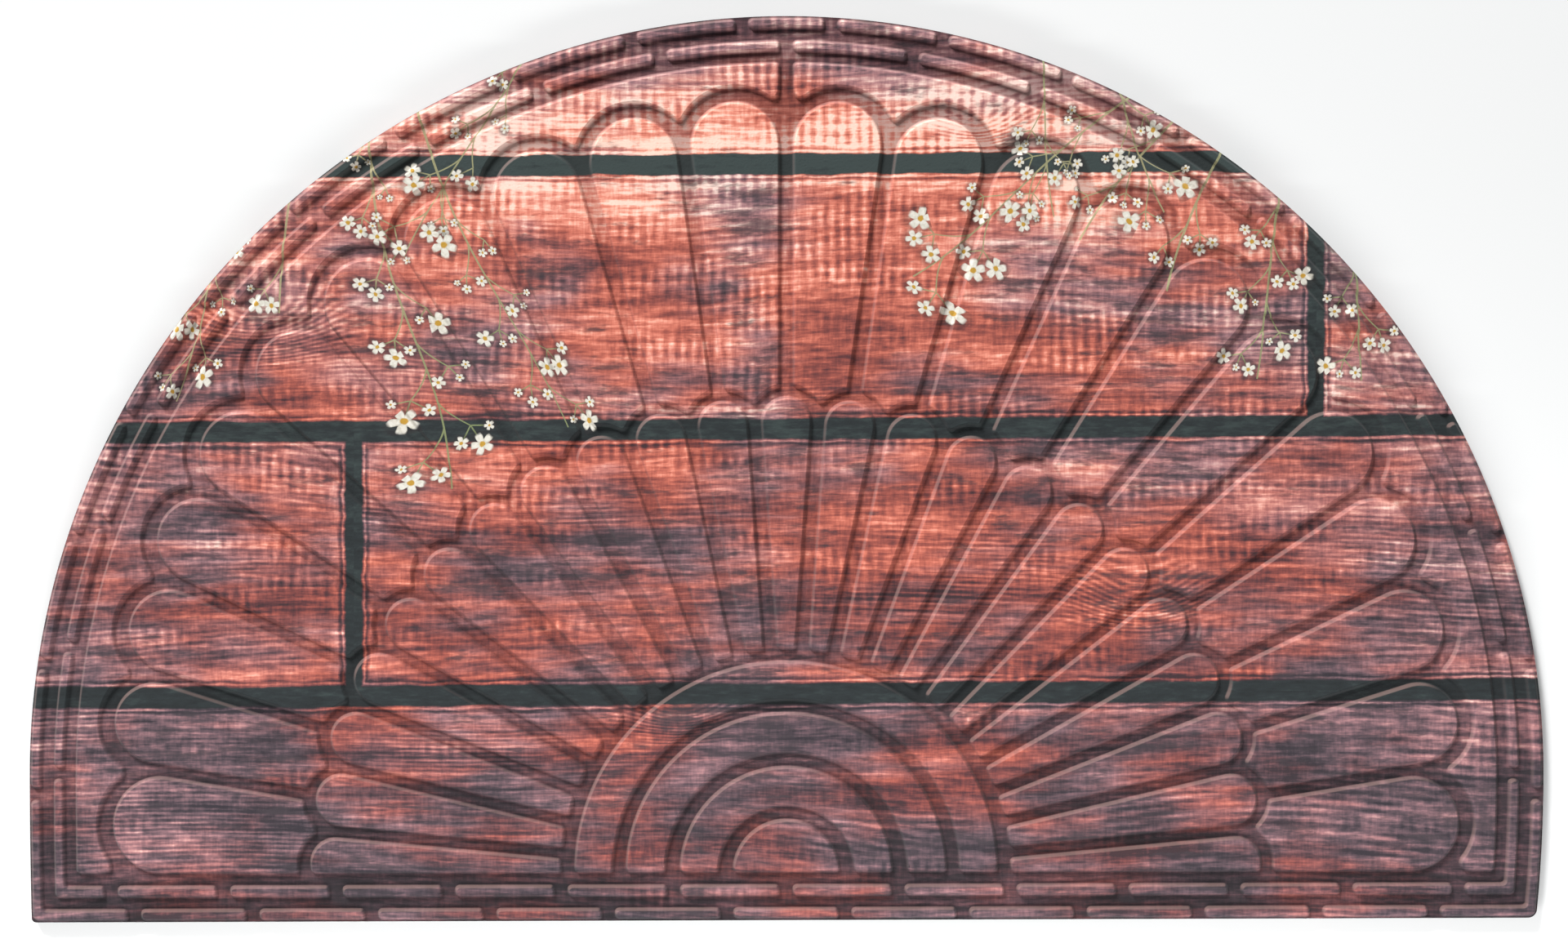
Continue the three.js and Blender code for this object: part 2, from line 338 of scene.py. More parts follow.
def addNode(tree, kind, settings=None, inputs=None):  # an input is a value, a socket or a node
    isFullName = kind.startswith(("Geometry", "Function", "NodeGroup"))
    node = tree.nodes.new(kind if isFullName else "ShaderNode" + kind)
    for name, value in (settings or {}).items():
        setattr(node, name, value)
    for socket, value in (inputs or {}).items():
        source = value.outputs[0] if isinstance(value, bpy.types.Node) else value
        if isinstance(source, bpy.types.NodeSocket):
            tree.links.new(source, node.inputs[socket])
        else:
            node.inputs[socket].default_value = source
    return node


plus, minus, times, per, timesPlus, toPower = (
    {"operation": name} for name in ("ADD", "SUBTRACT", "MULTIPLY", "DIVIDE", "MULTIPLY_ADD", "POWER"))
smaller, larger, below, above, size, sine, cosine, lengthOf = ({"operation": name} for name in (
    "MINIMUM", "MAXIMUM", "LESS_THAN", "GREATER_THAN", "ABSOLUTE", "SINE", "COSINE", "LENGTH"))
smooth = {"interpolation_type": "SMOOTHSTEP"}
colourMix = {"data_type": "RGBA"}


# Printed face: relief pads swept round their outlines, filled on top, on one felt sheet

innerPetals = [innerPetal(fan["pitch"] * i) for i in range(fan["petals"] + 1)]
outerPetals = [outerPetal(i, innerPetals) for i in range(fan["petals"])]
band = bandOutline(outerPetals)
padOutlines = [outline for row in brickBorder["rows"] for outline in brickOutlines(row)]
padOutlines += [petal["outline"] for petal in innerPetals]
padOutlines += [mirrored(petal["outline"]) for petal in innerPetals[1:]]
padOutlines += [petal["outline"] for petal in outerPetals]
padOutlines += [mirrored(petal["outline"]) for petal in outerPetals]
padOutlines += [band, mirrored(band)] + [hubRing(*ring) for ring in fan["hubRings"]]

faceRelief = {
    "rimInside": 1.2,  # a pad's edge starts to turn down this far inside its rim
    "footOutside": 1.0,
    "wallSteps": 8,
    "longestStretch": 10,
    "cornerRadius": 1.62,
}


def laidOut(points):
    return anticlockwise([cutUnevenly(p) for p in divided(points, faceRelief["longestStretch"])])


rims = [laidOut(roundCorners(points, faceRelief["cornerRadius"])) for points in padOutlines]
cutEdge = laidOut(matOutline())
print("outlines:", len(rims), "pads,", sum(map(len, rims)), "points")


def reliefTree():
    tree = bpy.data.node_groups.new("mouldedRelief", "GeometryNodeTree")
    face = tree.interface
    face.new_socket("Geometry", in_out="INPUT", socket_type="NodeSocketGeometry")
    sockets = {}
    for name, kind in (("Cut edge", "NodeSocketObject"), ("Rim inside", "NodeSocketFloat"),
                       ("Foot outside", "NodeSocketFloat"), ("Relief", "NodeSocketFloat"),
                       ("Groove top", "NodeSocketFloat"), ("Underside", "NodeSocketFloat"),
                       ("Wall steps", "NodeSocketInt"), ("Material", "NodeSocketMaterial")):
        sockets[name] = face.new_socket(name, in_out="INPUT", socket_type=kind).identifier
    face.new_socket("Geometry", in_out="OUTPUT", socket_type="NodeSocketGeometry")
    given = addNode(tree, "NodeGroupInput").outputs

    upright = addNode(tree, "GeometryNodeSetCurveNormal", {"mode": "Z_UP"}, {"Curve": given["Geometry"]})
    line = addNode(tree, "GeometryNodeCurvePrimitiveLine", {}, {"End": (1, 0, 0)})
    stepped = addNode(tree, "GeometryNodeResampleCurve", {}, {"Curve": line, "Count": given["Wall steps"]})
    share = addNode(tree, "GeometryNodeSplineParameter").outputs["Factor"]
    negative = addNode(tree, "Math", times, {0: given["Rim inside"], 1: -1.0})
    out = addNode(tree, "MapRange", {}, {
        "Value": share, "To Min": negative, "To Max": given["Foot outside"]})
    drop = addNode(tree, "MapRange", smooth, {
        "Value": share, "To Min": 0.0, "To Max": given["Relief"]})
    place = addNode(tree, "CombineXYZ", {}, {"X": out, "Y": drop})
    profile = addNode(tree, "GeometryNodeSetPosition", {}, {
        "Geometry": stepped, "Position": place})
    walls = addNode(tree, "GeometryNodeCurveToMesh", {}, {
        "Curve": upright, "Profile Curve": profile})
    softWalls = addNode(tree, "GeometryNodeSetShadeSmooth", {}, {"Geometry": walls})

    height = addNode(tree, "SeparateXYZ", {}, {0: addNode(tree, "GeometryNodeInputPosition").outputs[0]})
    halfRelief = addNode(tree, "Math", timesPlus, {
        0: given["Relief"], 1: 0.5, 2: given["Groove top"]})
    isHigh = addNode(tree, "FunctionNodeCompare", {"data_type": "FLOAT", "operation": "GREATER_THAN"}, {
        0: height.outputs["Z"], 1: halfRelief})
    facesOnEdge = addNode(tree, "GeometryNodeInputMeshEdgeNeighbors")
    isOpen = addNode(tree, "FunctionNodeCompare", {"data_type": "INT", "operation": "EQUAL"}, {
        2: facesOnEdge, 3: 1})
    isLow = addNode(tree, "FunctionNodeBooleanMath", {"operation": "NOT"}, {0: isHigh})
    topRing = addNode(tree, "FunctionNodeBooleanMath", {"operation": "AND"}, {0: isOpen, 1: isHigh})
    footRing = addNode(tree, "FunctionNodeBooleanMath", {"operation": "AND"}, {0: isOpen, 1: isLow})

    edge = addNode(tree, "GeometryNodeObjectInfo", {}, {"Object": given["Cut edge"]}).outputs["Geometry"]
    thickness = addNode(tree, "Math", minus, {0: given["Groove top"], 1: given["Underside"]})
    down = addNode(tree, "CombineXYZ", {}, {"Y": thickness})
    sideProfile = addNode(tree, "GeometryNodeCurvePrimitiveLine", {}, {"End": down})
    uprightEdge = addNode(tree, "GeometryNodeSetCurveNormal", {"mode": "Z_UP"}, {"Curve": edge})
    side = addNode(tree, "GeometryNodeCurveToMesh", {}, {
        "Curve": uprightEdge, "Profile Curve": sideProfile})

    filled = []
    for ring, level in ((topRing, "pads"), (footRing, "grooves"), (None, "underside")):
        parts = []
        if ring:
            parts.append(addNode(tree, "GeometryNodeMeshToCurve", {}, {
                "Mesh": walls, "Selection": ring}).outputs[0])
        if level != "pads":
            parts.append(edge)
        joined = addNode(tree, "GeometryNodeJoinGeometry")
        for part in parts:
            tree.links.new(part, joined.inputs[0])
        fill = addNode(tree, "GeometryNodeFillCurve", {}, {"Curve": joined})
        flat = addNode(tree, "GeometryNodeSetShadeSmooth", {}, {"Geometry": fill, "Shade Smooth": False})
        top = addNode(tree, "Math", plus, {0: given["Groove top"], 1: given["Relief"]})
        lift = {"pads": top, "grooves": given["Groove top"], "underside": given["Underside"]}[level]
        raised = addNode(tree, "CombineXYZ", {}, {
            "X": height.outputs["X"], "Y": height.outputs["Y"], "Z": lift})
        filled.append(addNode(tree, "GeometryNodeSetPosition", {}, {
            "Geometry": flat, "Position": raised}))
    joined = addNode(tree, "GeometryNodeJoinGeometry")
    for part in (softWalls, side, *filled):
        tree.links.new(part.outputs[0], joined.inputs[0])
    welded = addNode(tree, "GeometryNodeMergeByDistance", {}, {"Geometry": joined, "Distance": 0.00001})
    real = addNode(tree, "GeometryNodeRealizeInstances", {}, {"Geometry": welded})
    finished = addNode(tree, "GeometryNodeSetMaterial", {}, {
        "Geometry": real, "Material": given["Material"]})
    addNode(tree, "NodeGroupOutput", {}, {0: finished})
    return tree, sockets


def plainMesh(source, name):  # evaluated shape as a plain mesh, faces outward
    graph = bpy.context.evaluated_depsgraph_get()
    mesh = bpy.data.meshes.new_from_object(source.evaluated_get(graph))
    if mesh.materials[0] is None:
        mesh.materials.pop(index=0)  # the curve's own empty slot
    shape = bmesh.new()
    shape.from_mesh(mesh)
    bmesh.ops.triangulate(shape, faces=shape.faces)
    bmesh.ops.recalc_face_normals(shape, faces=shape.faces)
    openEdges = sum(len(edge.link_faces) != 2 for edge in shape.edges)
    shape.to_mesh(mesh)
    shape.free()
    piece = bpy.data.objects.new(name, mesh)
    bpy.context.scene.collection.objects.link(piece)
    print(name, len(mesh.polygons), "triangles,", openEdges, "open edges")
    return piece


# Print of the face: weathered boards with sprays of small five-petalled flowers over them.
# Its places and sizes are millimetres on the mat.

boards = {
    "pitch": 131,  # width of a board with its gap
    "gapAt": 20,
    "gapWidth": 10,
    "tilt": 0.006,
    "endJoints": [(0, 262, 8), (-1, -214, 8)],  # board counted from the middle gap, place, width
    "knots": [(-262, 78, 15), (176, -62, 13), (-52, -118, 10), (96, 172, 9)],  # place and radius
    "sawPitch": 5.6,
    "ribPitch": 3.1,
    "worn": [(0.0, "#3a2428"), (0.15, "#5a2f31"), (0.3, "#7d3f3a"), (0.44, "#9b4f44"), (0.55, "#b66050"),
             (0.66, "#cf7460"), (0.77, "#e48c77"), (0.88, "#f4af99"), (1.0, "#fcd3c1")],
    "grey": [(0.0, "#2b252c"), (0.15, "#41363d"), (0.3, "#5c484f"), (0.44, "#77595f"), (0.55, "#906a6f"),
             (0.66, "#a97b7d"), (0.77, "#c19593"), (0.88, "#ddb5ad"), (1.0, "#f8dacf")],
    "gap": [(0.3, "#181d1f"), (0.55, "#22292b"), (0.8, "#35403f")],
    "edge": [(0.0, 0.3), (0.08, 0.62), (0.15, 0.26), (0.26, 0.6), (0.4, 0.55), (0.6, 0.5)],  # beside a gap
    "fade": [(0.0, 0.24), (0.24, 0.355), (0.5, 0.485), (0.68, 0.55), (0.8, 0.72), (0.86, 0.94), (0.91, 0.8),
             (0.95, 0.66), (1.0, 0.6)],
    "weathered": [(0.0, 0.24), (0.22, 0.12), (0.36, 0.01), (0.5, 0.0), (0.87, 0.0), (0.92, 0.24), (1.0, 0.5)],
}

sprays = [  # hang from the arch: start of the stems, their way and half their fan in degrees, and their reach
    {"root": (-225, 280), "middle": -98, "half": 38, "spacing": 12.5, "near": 125, "far": 310, "share": 0.95},
    {"root": (-70, 325), "middle": -124, "half": 24, "spacing": 13, "near": 115, "far": 250, "share": 0.9},
    {"root": (262, 262), "middle": -104, "half": 32, "spacing": 14, "near": 120, "far": 300, "share": 1.0},
    {"root": (110, 320), "middle": -60, "half": 24, "spacing": 15, "near": 115, "far": 235, "share": 0.9},
]

blossom = {
    "cell": 31,  # a side twig every so many millimetres along a stem
    "twig": 15,
    "stalk": 8.6,
    "between": 1.02,  # angle between the stalks of a twig in radians
    "least": 1.6,
    "most": 5.4,
    "ruffle": 0.9,
    "petal": "#dfdbd0",
    "creased": "#b8b4a2",
    "eye": "#b98f35",
    "stem": "#7b885c",
    "dryStem": "#a39c76",
}


def toneRamp(tree, value, tones):
    ramp = addNode(tree, "ValToRGB", {}, {"Fac": value})
    stops = ramp.color_ramp.elements
    for _ in tones[2:]:
        stops.new(0.5)
    for stop, (position, _) in zip(stops, tones):
        stop.position = position
    for stop, (_, colour) in zip(stops, tones):
        stop.color = linearColour(colour) if isinstance(colour, str) else (colour, colour, colour, 1)
    return ramp


def grain(tree, place, width, height, detail=2, rough=0.55):  # noise longer along the boards than across
    scaled = addNode(tree, "VectorMath", times, {0: place, 1: (1 / width, 1 / height, 0)})
    return addNode(tree, "TexNoise", {"noise_dimensions": "2D"}, {
        "Vector": scaled, "Scale": 1.0, "Detail": detail, "Roughness": rough})


def boardPrint(tree, place, x, y):
    tilted = addNode(tree, "Math", timesPlus, {0: x, 1: -boards["tilt"], 2: y})
    fromGap = addNode(tree, "Math", minus, {0: tilted, 1: boards["gapAt"]})
    count = addNode(tree, "Math", per, {0: fromGap, 1: boards["pitch"]})
    board = addNode(tree, "Math", {"operation": "FLOOR"}, {0: count})
    half = boards["pitch"] / 2
    wrapped = addNode(tree, "Math", {"operation": "WRAP"}, {0: fromGap, 1: half, 2: -half})
    off = addNode(tree, "Math", size, {0: wrapped})
    fromEdge = addNode(tree, "Math", minus, {0: off, 1: boards["gapWidth"] / 2})
    piece = board
    for index, at, width in boards["endJoints"]:
        isBoard = addNode(tree, "Math", {"operation": "COMPARE"}, {0: board, 1: index, 2: 0.5})
        offJoint = addNode(tree, "Math", minus, {0: x, 1: at})
        away = addNode(tree, "Math", size, {0: offJoint})
        clear = addNode(tree, "Math", plus, {0: away, 1: 99 - width / 2})
        fromJoint = addNode(tree, "Math", timesPlus, {0: isBoard, 1: -99.0, 2: clear})
        fromEdge = addNode(tree, "Math", smaller, {0: fromEdge, 1: fromJoint})
        past = addNode(tree, "Math", above, {0: offJoint, 1: 0.0})
        pastHere = addNode(tree, "Math", times, {0: past, 1: isBoard})
        piece = addNode(tree, "Math", timesPlus, {0: pastHere, 1: 5.0, 2: piece})
    shift = addNode(tree, "Math", times, {0: piece, 1: 731.7})
    moved = addNode(tree, "CombineXYZ", {}, {"X": shift, "Y": shift})
    own = addNode(tree, "VectorMath", plus, {0: place, 1: moved})
    swell = grain(tree, own, 260, 90, 0)
    bent = addNode(tree, "Math", times, {0: swell, 1: 16.0})
    bend = addNode(tree, "CombineXYZ", {}, {"Y": bent})
    fibre = addNode(tree, "VectorMath", plus, {0: own, 1: bend})

    # knots: rings in the dark wood, and growth lines that part round them
    ringPhase = addNode(tree, "Math", timesPlus, {0: swell, 1: 46.0, 2: y})
    knotShare = None
    for across, up, radius in boards["knots"]:
        fromKnot = addNode(tree, "VectorMath", minus, {0: place, 1: (across, up, 0)})
        squeezed = addNode(tree, "VectorMath", times, {0: fromKnot, 1: (0.62 / radius, 1 / radius, 0)})
        away = addNode(tree, "VectorMath", lengthOf, {0: squeezed}).outputs["Value"]
        near = addNode(tree, "Math", toPower, {0: 2.718, 1: addNode(
            tree, "Math", times, {0: addNode(tree, "Math", times, {0: away, 1: away}), 1: -0.5})})
        knotShare = addNode(tree, "Math", larger, {0: knotShare, 1: near}) if knotShare else near
        ringPhase = addNode(tree, "Math", timesPlus, {0: near, 1: radius * 1.5, 2: ringPhase})

    # grain from broad bands to single fibres, and dabs of pigment
    dabs = grain(tree, own, 9, 2.4, 2, 0.6)
    tone = addNode(tree, "Math", times, {0: dabs, 1: 0.42})
    for width, height, detail, weight in (
            (1.5, 8, 1, 0.2), (22, 2, 2, 0.52), (70, 3.8, 3, 0.64), (190, 16, 2, 0.72), (60, 40, 3, 0.5)):
        band = grain(tree, fibre, width, height, detail, 0.62)
        tone = addNode(tree, "Math", timesPlus, {0: band, 1: weight, 2: tone})

    # saw marks: upright dashes, strongest high on the mat, and ribs along the boards near the sides
    sawPatch = grain(tree, own, 60, 17, 2)
    high = addNode(tree, "MapRange", {}, {
        "Value": y, "From Min": -220.0, "From Max": 170.0, "To Min": -0.12, "To Max": 0.12})
    likely = addNode(tree, "Math", plus, {0: sawPatch, 1: high})
    sawHere = addNode(tree, "MapRange", smooth, {
        "Value": likely, "From Min": 0.46, "From Max": 0.8, "To Min": 0.05, "To Max": 1.0})
    sawDrift = grain(tree, own, 30, 40)
    sawX = addNode(tree, "Math", timesPlus, {0: sawDrift, 1: 4.0, 2: x})
    phase = addNode(tree, "Math", times, {0: sawX, 1: 2 * math.pi / boards["sawPitch"]})
    saw = addNode(tree, "Math", sine, {0: phase})
    dashLength = grain(tree, own, 4, 7, 3, 0.7)
    dashes = addNode(tree, "Math", times, {0: saw, 1: dashLength})
    sawTone = addNode(tree, "Math", times, {0: dashes, 1: sawHere})
    tone = addNode(tree, "Math", timesPlus, {0: sawTone, 1: 0.32, 2: tone})
    side = addNode(tree, "Math", size, {0: x})
    linePatch = grain(tree, own, 110, 45, 1)
    lineBias = addNode(tree, "MapRange", smooth, {
        "Value": side, "From Min": 150.0, "From Max": 300.0, "To Min": -0.1, "To Max": 0.04})
    linesHere = addNode(tree, "MapRange", smooth, {"Value": addNode(
        tree, "Math", plus, {0: addNode(tree, "Math", plus, {0: linePatch, 1: lineBias}), 1: knotShare}),
        "From Min": 0.42, "From Max": 0.72, "To Min": 0.015, "To Max": 0.12})
    ring = addNode(tree, "Math", sine, {0: addNode(
        tree, "Math", times, {0: ringPhase, 1: 2 * math.pi / boards["ribPitch"]})})
    tone = addNode(tree, "Math", timesPlus, {0: ring, 1: linesHere, 2: tone})

    # mottled where the paint has weathered, towards the sides
    mottle = grain(tree, own, 13, 8, 3, 0.7)
    mottleHere = addNode(tree, "MapRange", smooth, {
        "Value": side, "From Min": 120.0, "From Max": 320.0, "To Max": 0.5})
    tone = addNode(tree, "Math", timesPlus, {0: mottleHere, 1: addNode(
        tree, "Math", minus, {0: mottle, 1: 0.5}), 2: tone})

    # paler high on the mat, and along the boards' worn edges
    height = addNode(tree, "MapRange", {}, {"Value": y, "From Min": -224.0, "From Max": 224.0})
    fade = toneRamp(tree, height, boards["fade"])
    lit = addNode(tree, "Math", plus, {0: tone, 1: fade})
    edgeNoise = grain(tree, own, 26, 9, 4, 0.6)
    ragged = addNode(tree, "Math", timesPlus, {0: edgeNoise, 1: 3.0, 2: fromEdge})
    margin = addNode(tree, "Math", timesPlus, {0: ragged, 1: 0.065, 2: -0.1})
    edge = toneRamp(tree, margin, boards["edge"])
    lit = addNode(tree, "Math", timesPlus, {0: edge, 1: 1.3, 2: lit})
    tone = addNode(tree, "Math", minus, {0: lit, 1: 2.17})

    worn = toneRamp(tree, tone, boards["worn"])
    grey = toneRamp(tree, tone, boards["grey"])
    streaks = grain(tree, fibre, 60, 7, 3, 0.6)
    patches = grain(tree, own, 95, 52)
    weathered = addNode(tree, "MapRange", smooth, {
        "Value": side, "From Min": 180.0, "From Max": 330.0, "To Max": 0.14})
    weathered = addNode(tree, "Math", plus, {0: weathered, 1: toneRamp(tree, height, boards["weathered"])})
    weathered = addNode(tree, "Math", plus, {0: weathered, 1: patches})
    both = addNode(tree, "Math", timesPlus, {0: streaks, 1: 0.5, 2: addNode(
        tree, "Math", timesPlus, {0: patches, 1: 0.35, 2: weathered})})
    greyHere = addNode(tree, "MapRange", smooth, {"Value": both, "From Min": 0.79, "From Max": 1.3})
    wood = addNode(tree, "Mix", colourMix, {0: greyHere, 6: worn, 7: grey}).outputs[2]
    sunned = addNode(tree, "Math", timesPlus, {0: side, 1: 0.0014, 2: addNode(
        tree, "Math", timesPlus, {0: height, 1: 0.26, 2: addNode(
            tree, "Math", minus, {0: linePatch, 1: patches})})})
    bleach = addNode(tree, "MapRange", smooth, {
        "Value": sunned, "From Min": 0.46, "From Max": 0.9, "To Max": 0.85})
    pale = toneRamp(tree, addNode(tree, "Math", plus, {0: tone, 1: 0.12}), boards["grey"])
    wood = addNode(tree, "Mix", colourMix, {0: bleach, 6: wood, 7: pale}).outputs[2]
    strokes = grain(tree, fibre, 34, 6.5, 4, 0.68)
    stained = addNode(tree, "Math", timesPlus, {0: patches, 1: 0.5, 2: addNode(
        tree, "Math", timesPlus, {0: dabs, 1: -0.22, 2: addNode(
            tree, "Math", timesPlus, {0: knotShare, 1: 0.2, 2: strokes})})})
    stain = addNode(tree, "MapRange", smooth, {
        "Value": stained, "From Min": 0.67, "From Max": 0.9, "To Max": 0.72})
    wood = addNode(tree, "Mix", colourMix, {0: stain, 6: wood, 7: linearColour("#3b3338")}).outputs[2]
    gapTone = addNode(tree, "Math", timesPlus, {0: edgeNoise, 1: 0.5, 2: addNode(
        tree, "Math", timesPlus, {0: dabs, 1: 0.5, 2: -0.25})})
    gap = toneRamp(tree, addNode(tree, "Math", timesPlus, {0: fade, 1: 0.7, 2: gapTone}), boards["gap"])
    inGap = addNode(tree, "MapRange", {}, {
        "Value": ragged, "From Min": 1.3, "From Max": 1.9, "To Min": 1.0, "To Max": 0.0})
    return addNode(tree, "Mix", colourMix, {0: inGap, 6: wood, 7: gap}).outputs[2]


def sprayPrint(tree, place, drift, ruffle, number, spray):  # stems from one root, with twigs of three flowers
    fromRoot = addNode(tree, "VectorMath", minus, {0: place, 1: (*spray["root"], 0)})
    reach = addNode(tree, "VectorMath", lengthOf, {0: fromRoot}).outputs["Value"]
    turned = addNode(tree, "VectorRotate", {"rotation_type": "Z_AXIS"}, {
        "Vector": fromRoot, "Angle": math.radians(-spray["middle"])})
    ahead, left, _ = addNode(tree, "SeparateXYZ", {}, {0: turned}).outputs
    angle = addNode(tree, "Math", {"operation": "ARCTAN2"}, {0: left, 1: ahead})
    spacing = math.radians(spray["spacing"])
    bent = addNode(tree, "Math", timesPlus, {0: drift, 1: 0.27, 2: angle})
    lane = addNode(tree, "Math", per, {0: bent, 1: spacing})
    stem = addNode(tree, "Math", {"operation": "ROUND"}, {0: lane})
    own = addNode(tree, "TexWhiteNoise", {"noise_dimensions": "1D"}, {"W": addNode(
        tree, "Math", plus, {0: stem, 1: 17.3 * number})}).outputs["Value"]
    offMiddle = addNode(tree, "Math", timesPlus, {0: own, 1: 0.28, 2: -0.14})
    middle = addNode(tree, "Math", plus, {0: stem, 1: offMiddle})
    laneWidth = addNode(tree, "Math", times, {0: reach, 1: spacing})
    aside = addNode(tree, "Math", times, {0: addNode(
        tree, "Math", minus, {0: lane, 1: middle}), 1: laneWidth})
    out = addNode(tree, "Math", size, {0: aside})
    end = addNode(tree, "MapRange", {}, {"Value": own, "To Min": spray["far"] * 0.6, "To Max": spray["far"]})
    inFan = addNode(tree, "Math", below, {
        0: addNode(tree, "Math", size, {0: addNode(tree, "Math", times, {0: stem, 1: spacing})}),
        1: math.radians(spray["half"])})
    grows = addNode(tree, "Math", times, {0: inFan, 1: addNode(
        tree, "Math", below, {0: reach, 1: end})})
    lastTwig = addNode(tree, "Math", minus, {0: end, 1: blossom["twig"] * 1.2})
    stemWidth = addNode(tree, "MapRange", {}, {
        "Value": reach, "From Max": spray["far"], "To Min": 0.75, "To Max": 0.32})
    line = addNode(tree, "Math", below, {0: out, 1: stemWidth})

    # one cell of the stem's lane on either side: its twig and its chance to flower
    side = addNode(tree, "Math", {"operation": "SIGN"}, {0: aside})
    passed = addNode(tree, "Math", per, {0: reach, 1: blossom["cell"]})
    counted = addNode(tree, "Math", timesPlus, {0: side, 1: 0.21, 2: addNode(
        tree, "Math", timesPlus, {0: own, 1: 3.0, 2: passed})})
    cell = addNode(tree, "Math", {"operation": "FLOOR"}, {0: counted})
    onward = addNode(tree, "Math", times, {0: addNode(
        tree, "Math", {"operation": "FRACT"}, {0: counted}), 1: blossom["cell"]})
    key = addNode(tree, "CombineXYZ", {}, {"X": stem, "Y": cell, "Z": side})
    dice = addNode(tree, "TexWhiteNoise", {"noise_dimensions": "4D"}, {"Vector": key, "W": float(number)})
    sway, _, grade = addNode(tree, "SeparateColor", {}, {0: dice.outputs["Color"]}).outputs
    cellStart = addNode(tree, "Math", minus, {0: reach, 1: onward})
    thick = addNode(tree, "MapRange", smooth, {
        "Value": cellStart, "From Min": spray["near"] * 0.8, "From Max": spray["near"] * 1.4,
        "To Max": spray["share"]})
    isThere = addNode(tree, "Math", times, {0: inFan, 1: addNode(
        tree, "Math", below, {0: cellStart, 1: lastTwig})})
    isTwig = addNode(tree, "Math", times, {0: isThere, 1: addNode(
        tree, "Math", below, {0: dice.outputs["Value"], 1: thick})})
    scale = addNode(tree, "MapRange", {}, {
        "Value": laneWidth, "From Min": 26.0, "From Max": 60.0, "To Min": 0.72, "To Max": 1.3})
    twigOut = addNode(tree, "Math", times, {0: scale, 1: addNode(
        tree, "MapRange", {}, {"Value": sway, "To Min": 6.6, "To Max": 9.6})})
    share = addNode(tree, "Math", per, {0: onward, 1: blossom["twig"]})
    twigAt = addNode(tree, "Math", times, {0: addNode(
        tree, "Math", toPower, {0: share, 1: 1.4}), 1: twigOut})
    offTwig = addNode(tree, "Math", size, {0: addNode(tree, "Math", minus, {0: out, 1: twigAt})})
    thin = addNode(tree, "Math", below, {0: offTwig, 1: 0.4})
    twig = addNode(tree, "Math", times, {0: thin, 1: addNode(
        tree, "Math", below, {0: share, 1: 1.0})})

    # the twig's end: stalks in three sectors, a flower or bud on each
    fromEnd = addNode(tree, "CombineXYZ", {}, {
        "X": addNode(tree, "Math", minus, {0: onward, 1: blossom["twig"]}),
        "Y": addNode(tree, "Math", minus, {0: out, 1: twigOut})})
    leaning = addNode(tree, "VectorRotate", {"rotation_type": "Z_AXIS"}, {"Vector": fromEnd, "Angle": -0.35})
    forth, across, _ = addNode(tree, "SeparateXYZ", {}, {0: leaning}).outputs
    far = addNode(tree, "VectorMath", lengthOf, {0: fromEnd}).outputs["Value"]
    turn = addNode(tree, "Math", per, {0: addNode(
        tree, "Math", {"operation": "ARCTAN2"}, {0: across, 1: forth}), 1: blossom["between"]})
    sector = addNode(tree, "Math", {"operation": "ROUND"}, {0: turn})
    isSector = addNode(tree, "Math", below, {0: addNode(
        tree, "Math", size, {0: sector}), 1: 1.5})
    flowerDice = addNode(tree, "TexWhiteNoise", {"noise_dimensions": "4D"}, {
        "Vector": key, "W": addNode(tree, "Math", plus, {0: sector, 1: 5.0 + 9 * number})})
    reachDice, turnDice, spin = addNode(tree, "SeparateColor", {}, {0: flowerDice.outputs["Color"]}).outputs
    chance = addNode(tree, "Math", toPower, {0: flowerDice.outputs["Value"], 1: 1.6})
    radius = addNode(tree, "Math", times, {0: scale, 1: addNode(
        tree, "MapRange", {}, {"Value": chance, "To Min": blossom["least"], "To Max": blossom["most"]})})
    stalk = addNode(tree, "Math", times, {0: scale, 1: addNode(
        tree, "MapRange", {}, {
            "Value": reachDice, "To Min": blossom["stalk"] * 0.72, "To Max": blossom["stalk"]})})
    aim = addNode(tree, "Math", timesPlus, {0: turnDice, 1: 0.3, 2: addNode(
        tree, "Math", minus, {0: sector, 1: 0.15})})
    off = addNode(tree, "Math", minus, {0: turn, 1: aim})
    swung = addNode(tree, "Math", times, {0: off, 1: blossom["between"]})

    # a flower keeps clear of its stem, of the next stem's lane and of the next twig, or it isn't there
    lean = addNode(tree, "Math", timesPlus, {0: aim, 1: blossom["between"], 2: 0.35})
    flowerOut = addNode(tree, "Math", timesPlus, {0: stalk, 1: addNode(
        tree, "Math", sine, {0: lean}), 2: twigOut})
    flowerOn = addNode(tree, "Math", timesPlus, {0: stalk, 1: addNode(
        tree, "Math", cosine, {0: lean}), 2: blossom["twig"]})
    halfLane = addNode(tree, "Math", times, {0: laneWidth, 1: addNode(
        tree, "Math", minus, {0: 0.5, 1: addNode(tree, "Math", times, {0: side, 1: offMiddle})})})
    beforeNext = addNode(tree, "Math", minus, {0: blossom["cell"], 1: flowerOn})
    beyondLane = addNode(tree, "Math", minus, {0: halfLane, 1: flowerOut})
    fromStem = addNode(tree, "Math", plus, {0: flowerOut, 1: 0.8})
    room = addNode(tree, "Math", smaller, {0: beforeNext, 1: addNode(
        tree, "Math", smaller, {0: beyondLane, 1: fromStem})})
    room = addNode(tree, "Math", minus, {0: room, 1: 0.4})
    radius = addNode(tree, "Math", smaller, {0: radius, 1: room})
    isSector = addNode(tree, "Math", times, {0: isSector, 1: addNode(
        tree, "Math", above, {0: room, 1: 1.1})})
    beside = addNode(tree, "Math", times, {0: far, 1: addNode(tree, "Math", sine, {0: swung})})
    beyond = addNode(tree, "Math", minus, {0: addNode(
        tree, "Math", times, {0: far, 1: addNode(tree, "Math", cosine, {0: swung})}),
        1: stalk})
